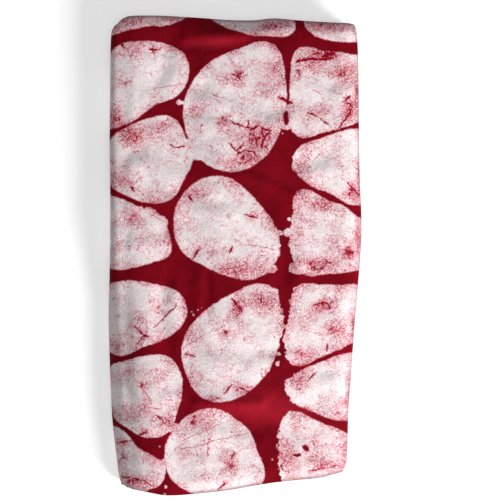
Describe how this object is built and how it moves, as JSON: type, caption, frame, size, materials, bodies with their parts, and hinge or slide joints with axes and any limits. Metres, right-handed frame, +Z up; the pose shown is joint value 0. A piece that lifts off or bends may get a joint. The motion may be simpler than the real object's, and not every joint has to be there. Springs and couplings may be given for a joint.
{
  "type": "folded adire cloth",
  "caption": "Wax-resist dyed cotton cloth with a red and white pebble pattern, folded back and forth into a flat packet with a rounded spine.",
  "frame": {"origin": "centre of the packet's bounding box at its bottom, on the surface that it lies on", "axes": "+X across the packet from its spine to its open folds, +Y up its height as it is looked at, +Z up through its layers"},
  "size_m": [0.204, 0.3852, 0.0271],
  "materials": {
    "adire_cotton": "matte plain-weave cotton, white stones of resisted cloth between deep red dyed channels with fine crackle"
  },
  "bodies": {
    "root": {"adire_cloth": "adire_cotton"}
  },
  "joints": []
}
